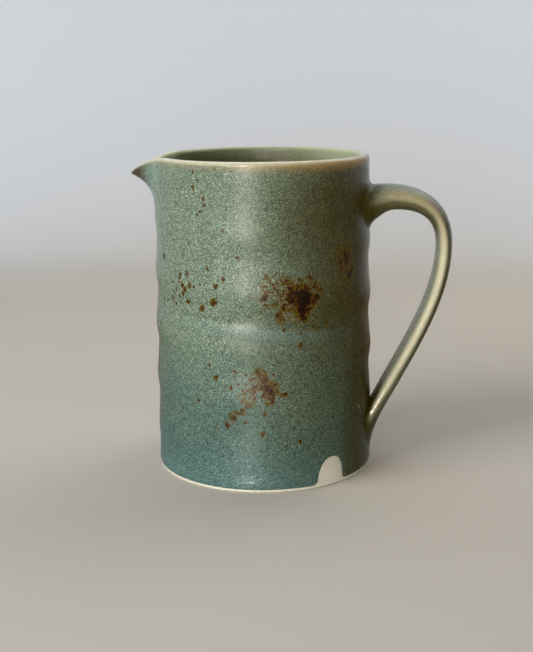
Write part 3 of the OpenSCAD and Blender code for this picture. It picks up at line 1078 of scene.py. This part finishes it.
def glaze_ground(graph, finish, at):
    """Mottled glaze: olive towards the handle, part thin glaze, part painted shade; teal low down, where it
    ran thick.
    """
    clouds = graph.noise(at.place, *CLOUDS) - NOISE_MIDDLE
    thick = 1 - graph.eased(at.height + TEAL_DRIFT * clouds, *TEAL_HEIGHTS)
    # Olive towards the handle and at its edge: part thin glaze, part painted shade
    thin = graph.eased(at.towards_handle + OLIVE_DRIFT * clouds, *OLIVE_SIDE)
    thin = thin * mixed(OLIVE_LOW, 1, graph.eased(at.height, *OLIVE_HEIGHTS))
    thin = graph.most(thin, graph.eased(at.towards_handle, *OLIVE_EDGE))
    # On the strap the olive is painted shade
    thin = thin * (1 - at.strap) + OLIVE_STRAP_SHADE * at.drained * at.strap
    shade = finish.celadon_dark
    pale = finish.celadon_pale
    for amount, dark, light in (
            (thick, finish.teal_dark, finish.teal_pale), (at.strap, finish.strap_dark, finish.strap_pale),
            (thin, finish.olive_dark, finish.olive_pale), (at.inside, finish.liner_dark, finish.liner_pale)):
        shade = graph.blend(amount, shade, dark)
        pale = graph.blend(amount, pale, light)
    # Painted shade in the groove over the front ledge
    hollow = graph.clamped(-1 * at.ledge)
    mottle = at.grain * GRAIN_SHARE + (at.flecks - NOISE_MIDDLE) * FLECK_SHARE
    mottle = mottle + MOTTLE_LIFT - LEDGE_SHADE * hollow
    glaze = graph.blend(graph.clamped(mottle), shade, pale)

    # Painted light pales the liner towards the handle and near the rim; the liner is also paler in the spout
    liner_light = LIT_LINER_SIDE * graph.eased(at.towards_handle, *LINER_SIDE)
    liner_light = liner_light + LIT_LINER_RIM * graph.eased(at.height, *LINER_HEIGHTS)
    liner_light = liner_light + SPOUT_LINER_PALE * graph.eased(at.spout, *SPOUT_LINER_SPAN)
    glaze = graph.blend(graph.clamped(liner_light) * at.inside, glaze, finish.liner_lit)

    # Glaze gathered under the spout, and painted sheen on the ledge's lip and at the foot
    outside = 1 - at.inside
    foot = (1 - graph.eased(at.height, *FOOT_HEIGHTS)) * outside * (1 - thin)
    throat = graph.eased(at.spout, *THROAT_SPAN) * outside
    gathered = LEDGE_SHEEN * graph.clamped(at.ledge) + FOOT_SHEEN * foot + THROAT_POOL * throat
    return graph.blend(gathered, glaze, finish.pool_and_sheen)


def iron_field(graph, body, place):
    """How much iron bled through the glaze, in grainy blooms, lace, freckles and upright specks."""
    wide = frayed(graph, place, *WIDE_FRAY)
    near = frayed(graph, place, *NEAR_FRAY)
    heads = graph.vector("SUBTRACT", near, (0.0, 0.0, SPECK_HEAD))
    patches = graph.noise(place, *RUST_PATCHES) - NOISE_MIDDLE
    clumps = graph.noise(place, *RUST_CLUMPS) - NOISE_MIDDLE
    upright = graph.vector("MULTIPLY", place, (1.0, 1.0, GRIT_UPRIGHT))
    cells = graph.node("ShaderNodeTexVoronoi", None, {"Vector": upright, "Scale": 0.62, "Randomness": 1.0})
    chance = graph.parts(Wire(graph, cells.socket.node.outputs["Color"]))[0]
    grit = (1 - 2 * cells) * GRIT

    def grainy(depth, patch_share, clump_share):
        return depth + patches * patch_share + clumps * clump_share + grit

    blooms = marks_field(graph, wide, BIG_BLOOM + LOW_BLOOM + FAR_SIDE_BLOOM, body)
    core = marks_field(graph, wide, BIG_BLOOM_CORE, body)
    soaked = grainy(blooms * BLOOM_DEPTH, *BLOOM_GRAIN) * graph.eased(blooms, *BLOOM_EDGE)
    soaked = soaked + core * CORE_DEPTH
    lace = graph.eased(marks_field(graph, wide, LACE, body), *LACE_EDGE)
    lace = lace * grainy(LACE_LIFT, *LACE_GRAIN)
    scatter = marks_field(graph, wide, FRECKLES, body)
    freckles = graph.eased(scatter * FRECKLE_SPREAD + chance, *FRECKLE_CHANCE)
    freckles = freckles * (FRECKLE_DEPTH - FRECKLE_FALL * cells)
    dots = LEFT_SPECKS + STRAY_SPECKS
    specks = marks_field(graph, near, dots, body)
    speck_heads = marks_field(graph, heads, dots, body)
    dotted = (specks - SPECK_EDGE) * SPECK_DEPTH + speck_heads * SPECK_HEAD_DEPTH
    dotted = dotted + clumps * SPECK_GRAIN * graph.eased(specks, 0.0, SPECK_EDGE)
    return graph.most(soaked, lace, freckles, dotted)


def worn_edges(graph, finish, at, glaze):
    """The glaze with its worn edges, and how bare the pale crest of each edge is; the crests are partly
    painted highlight.
    """
    tip = graph.eased(at.spout, *SPOUT_TIP_SPAN)
    tan = graph.blend(tip, finish.break_tan, finish.break_brown)
    browner = mixed(TAN_LEAST, 1, graph.eased(at.towards_handle, *BROWN_SIDE))
    worn = graph.blend(graph.clamped(at.breaking * (TAN_EVEN + at.flecks) * browner), glaze, tan)
    worn = graph.blend(SPOUT_WEAR * graph.eased(at.spout, *SPOUT_BROWN_SPAN), worn, finish.break_brown)
    # Painted shade dims the rim's pale crest, itself partly painted highlight, towards the handle
    shaded = RIM_SHADE * graph.eased(at.towards_handle, *RIM_SHADE_SIDE) * (1 - at.strap)
    bare = at.crest * (CREST_EVEN + CREST_FLECKS * at.flecks)
    bare = graph.clamped(bare * (1 - tip) * (1 - shaded))
    cream = graph.blend(graph.eased(at.height, *CROWN_HEIGHTS), finish.crest_cream, finish.crown_khaki)
    crest = graph.blend(at.strap, finish.rim_pale, cream)
    return graph.blend(bare, worn, crest), bare


def glaze_material(settings):
    """Satin glaze with pale crystals in it, rust blooms, and thin tan edges."""
    material, graph = material_graph("mottled_glaze")
    finish = settings.finish
    at = glaze_fields(graph)
    ground = glaze_ground(graph, finish, at)
    iron = iron_field(graph, settings.body, at.place)
    rust = graph.blend(graph.eased(iron, *RUST_BROWN_SPAN), finish.rust_gold, finish.rust_brown)
    rust = graph.blend(graph.eased(iron, *RUST_BLACK_SPAN), rust, finish.rust_black)
    stain = STAIN_MOST * graph.eased(iron, *STAIN_SPAN) * (1 - at.inside)
    painted, bare = worn_edges(graph, finish, at, graph.blend(stain, ground, rust))
    dimples = graph.noise(at.place, *DIMPLES)
    bump = graph.node("ShaderNodeBump", None, {
        "Strength": 1.0, "Distance": 0.15 * MM, "Height": at.grain * GRAIN_RELIEF + dimples})
    roughness = GLAZE_ROUGHNESS + GRAIN_ROUGHNESS * at.grain + RUST_ROUGHNESS * stain
    surfaced(graph, {
        "Base Color": painted, "Roughness": roughness, "Normal": bump, "IOR": 1.5,
        "Specular IOR Level": 0.13, "Coat Weight": bare * (1 - at.strap), "Coat Roughness": 0.15})
    return material


def clay_material(settings):
    """Pale bare stoneware with sand in it."""
    material, graph = material_graph("sanded_clay")
    finish = settings.finish
    place = millimetres(graph)
    sand = graph.noise(place, *SAND)
    patches = graph.noise(place, *CLAY_PATCHES) - NOISE_MIDDLE
    grains = graph.eased(sand, *SAND_SPAN) * SAND_SHARE + patches * CLAY_PATCH_SHARE
    body = graph.blend(graph.clamped(grains), finish.clay, finish.clay_sand)
    bump = graph.node("ShaderNodeBump", None, {"Strength": 0.35, "Distance": 0.1 * MM, "Height": sand})
    surfaced(graph, {"Base Color": body, "Roughness": CLAY_ROUGHNESS + SAND_ROUGHNESS * sand, "Normal": bump})
    return material


def rays(graph, kind):
    """1 for one kind of ray, such as Camera."""
    return graph.node("ShaderNodeLightPath", None, None, f"Is {kind} Ray")


def seen_rays(graph, gloss):
    """1 for rays that show a background, and a share of it for rays that show it in a gloss."""
    return graph.clamped(rays(graph, "Camera") + rays(graph, "Glossy") * gloss + rays(graph, "Transmission"))


def stage_material(finish):
    """A plain matt floor that turns into a pale backdrop, which is seen as bright as it is written.

    Near the pitcher, rays that don't come from the camera meet a darker floor with a satin gloss.
    """
    material, graph = material_graph("plain_stage")
    place = graph.node("ShaderNodeTexCoord", None, None, "Object")
    off_middle = graph.vector("LENGTH", place, out="Value")
    far = graph.eased(off_middle, *BACKDROP_SPAN)
    direct = rays(graph, "Camera")
    shown = graph.clamped(direct + graph.eased(off_middle, *BOUNCE_SPAN))
    tint = graph.blend(shown, finish.floor_bounce, graph.blend(far, finish.floor, finish.backdrop))
    matt = graph.node("ShaderNodeBsdfDiffuse", None, {"Color": tint})
    satin = graph.node("ShaderNodeBsdfPrincipled", None, {
        "Base Color": tint, "Roughness": 0.15, "IOR": 2.2, "Specular Tint": opaque(linear(SATIN_TINT))})
    dull = graph.clamped(direct + graph.eased(off_middle, *SATIN_SPAN))
    floor = graph.node("ShaderNodeMixShader", None, {0: dull, 1: satin, 2: matt})
    glow = graph.node("ShaderNodeEmission", None, {"Color": opaque(finish.backdrop)})
    surface = graph.node("ShaderNodeMixShader", None, {0: seen_rays(graph, 1.0) * far, 1: floor, 2: glow})
    graph.node("ShaderNodeOutputMaterial", None, {"Surface": surface})
    return material


def room_world(stage, finish):
    """Even light from all sides, and a pale room that shows behind the pitcher and in its gloss."""
    world = bpy.data.worlds.new("room")
    world.use_nodes = True
    graph = Graph(world.node_tree)
    light = graph.node("ShaderNodeBackground", None, {
        "Color": opaque(linear(ROOM_TINT)), "Strength": stage.room_light})
    pale = graph.node("ShaderNodeBackground", None, {"Color": opaque(finish.backdrop)})
    both = graph.node("ShaderNodeMixShader", None, {0: seen_rays(graph, stage.room_gloss), 1: light, 2: pale})
    graph.node("ShaderNodeOutputWorld", None, {"Surface": both})
    return world


def material_named(name, make, settings):
    """A material that two pieces share."""
    return bpy.data.materials.get(name) or make(settings)


class PITCHER_OT_clay_body(bpy.types.Operator):
    """Make the bare clay body, which shows at the foot and in the finger mark"""

    bl_idname = "pitcher.clay_body"
    bl_label = "Clay body"

    def execute(self, context):
        settings = context.scene.pitcher
        clay = material_named("sanded_clay", clay_material, settings)
        rule = thrown_rule(settings.body, clay, 0.0, CLAY_COLUMNS)
        piece = rule.grow("clay_body", clay_rows(settings.body))
        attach(piece, "root")
        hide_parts("floor_disc", "thrown_wall", "pulled_spout")
        return {"FINISHED"}


class PITCHER_OT_glaze_coat(bpy.types.Operator):
    """Make the glaze coat over the wall, the rim, the spout and the inside"""

    bl_idname = "pitcher.glaze_coat"
    bl_label = "Glaze coat"

    def execute(self, context):
        settings = context.scene.pitcher
        glaze = material_named("mottled_glaze", glaze_material, settings)
        rule = thrown_rule(settings.body, glaze, settings.body.mark_height, COAT_COLUMNS)
        piece = rule.grow("glaze_coat", coat_rows(settings.body))
        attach(piece, "root")
        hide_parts("outer_glaze", "liner_glaze", "spout_glaze")
        return {"FINISHED"}


class PITCHER_OT_strap_handle(bpy.types.Operator):
    """Make the clay strap handle and the glaze coat over it"""

    bl_idname = "pitcher.strap_handle"
    bl_label = "Strap handle"

    def execute(self, context):
        settings = context.scene.pitcher
        body = settings.body
        strap = Strap(body, settings.handle)
        clay = material_named("sanded_clay", clay_material, settings)
        rows = strap.rows(0.0, *STRAP_CLAY_ROWS)
        rule = strap_rule(body, clay, CORE_FILLET * settings.handle.fillet)
        core = rule.grow("handle_clay", [pinched(rows[0]), *rows, pinched(rows[-1])])
        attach(core, "root")
        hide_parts("pulled_handle", "upper_slip_joint", "lower_slip_joint")

        glaze = material_named("mottled_glaze", glaze_material, settings)
        outer = strap.rows(body.glaze_thickness, *STRAP_COAT_ROWS)
        inner = strap.rows(-UNDERLAP, *STRAP_CLAY_ROWS)
        rule = strap_rule(body, glaze, settings.handle.fillet)
        coat = rule.grow("handle_coat", [*outer, *reversed(inner), outer[0]])
        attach(coat, "root")
        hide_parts("handle_glaze")
        return {"FINISHED"}


def area_light(name, watts, place, width, height, tint):
    """A soft rectangular light that faces the middle of the pitcher."""
    lamp = bpy.data.lights.new(name, "AREA")
    lamp.shape = "RECTANGLE"
    lamp.energy = watts
    lamp.size = width
    lamp.size_y = height
    lamp.color = linear(tint)
    light = bpy.data.objects.new(name, lamp)
    light.location = place
    light.rotation_euler = (MIDDLE - Vector(place)).to_track_quat("-Z", "Y").to_euler()
    bpy.context.scene.collection.objects.link(light)
    return light


def sweep_backdrop(finish):
    """A floor that curves up into a backdrop."""
    outline = [(SWEEP_FRONT, 0.0)]
    for a in spaced(0, 90, SWEEP_STEPS):
        turned = math.radians(a)
        outline.append((SWEEP_BACK + SWEEP_ROUND * math.sin(turned), SWEEP_ROUND * (1 - math.cos(turned))))
    outline.append((SWEEP_BACK + SWEEP_ROUND, SWEEP_TOP))
    points = [(x, y, z) for y, z in outline for x in (-SWEEP_HALF_WIDTH, SWEEP_HALF_WIDTH)]
    faces = [(2 * i, 2 * i + 1, 2 * i + 3, 2 * i + 2) for i in range(len(outline) - 1)]
    mesh = bpy.data.meshes.new("floor")
    mesh.from_pydata(points, [], faces)
    mesh.shade_smooth()
    mesh.materials.append(stage_material(finish))
    floor = bpy.data.objects.new("floor", mesh)
    bpy.context.scene.collection.objects.link(floor)


def camera_at(stage):
    """The camera at the height, turn and lean of the photograph."""
    rise = stage.camera_rise
    place = MIDDLE + stage.camera_distance * Vector((0, -math.cos(rise), math.sin(rise)))
    down = rise + stage.camera_tilt
    pan = stage.camera_pan
    forward = Vector((math.sin(pan) * math.cos(down), math.cos(pan) * math.cos(down), -math.sin(down)))
    right = forward.cross(Vector((0, 0, 1))).normalized()
    up = right.cross(forward)
    lean = stage.camera_roll
    leaned_right = right * math.cos(lean) + up * math.sin(lean)
    leaned_up = up * math.cos(lean) - right * math.sin(lean)
    axes = Matrix((leaned_right, leaned_up, -forward)).transposed().to_4x4()
    lens = bpy.data.cameras.new("camera")
    lens.sensor_width = SENSOR_WIDTH
    lens.lens = lens.sensor_width / 2 / math.tan(stage.view_angle / 2)
    camera = bpy.data.objects.new("camera", lens)
    camera.matrix_world = Matrix.Rotation(stage.camera_turn, 4, "Z") @ Matrix.Translation(place) @ axes
    bpy.context.scene.collection.objects.link(camera)
    bpy.context.scene.camera = camera


class PITCHER_OT_stage(bpy.types.Operator):
    """Make the camera, the soft lights, the floor and the backdrop"""

    bl_idname = "pitcher.stage"
    bl_label = "Stage"

    def execute(self, context):
        settings = context.scene.pitcher
        stage = settings.stage
        camera_at(stage)
        for name, lamp in LAMPS.items():
            light = area_light(name, getattr(stage, f"{name}_power"), **lamp)
            light.visible_glossy = name != "front"
            light.visible_diffuse = name != "strip"
        sweep_backdrop(settings.finish)
        context.scene.world = room_world(stage, settings.finish)
        context.scene.view_settings.view_transform = "Standard"
        return {"FINISHED"}


class PITCHER_PT_panel(bpy.types.Panel):
    """Lists the pieces and their settings"""

    bl_idname = "PITCHER_PT_panel"
    bl_label = "Stoneware pitcher"
    bl_space_type = "VIEW_3D"
    bl_region_type = "UI"
    bl_category = "Pitcher"

    def draw(self, context):
        settings = context.scene.pitcher
        for operator in OPERATORS:
            self.layout.operator(operator.bl_idname)
        for group in (settings.body, settings.handle, settings.finish, settings.stage):
            box = self.layout.box()
            for key in group.__annotations__:
                box.prop(group, key)


OPERATORS = (PITCHER_OT_clay_body, PITCHER_OT_glaze_coat, PITCHER_OT_strap_handle, PITCHER_OT_stage)
GROUPS = (PitcherBody, PitcherHandle, PitcherFinish, PitcherStage, PitcherSettings)
CLASSES = (*GROUPS, *OPERATORS, PITCHER_PT_panel)


def register():
    for each in CLASSES:
        bpy.utils.register_class(each)
    bpy.types.Scene.pitcher = bpy.props.PointerProperty(type=PitcherSettings)


def unregister():
    del bpy.types.Scene.pitcher
    for each in reversed(CLASSES):
        bpy.utils.unregister_class(each)


def main():
    register()
    bpy.ops.pitcher.clay_body()
    bpy.ops.pitcher.glaze_coat()
    bpy.ops.pitcher.strap_handle()
    bpy.ops.pitcher.stage()


if __name__ == "__main__":
    main()
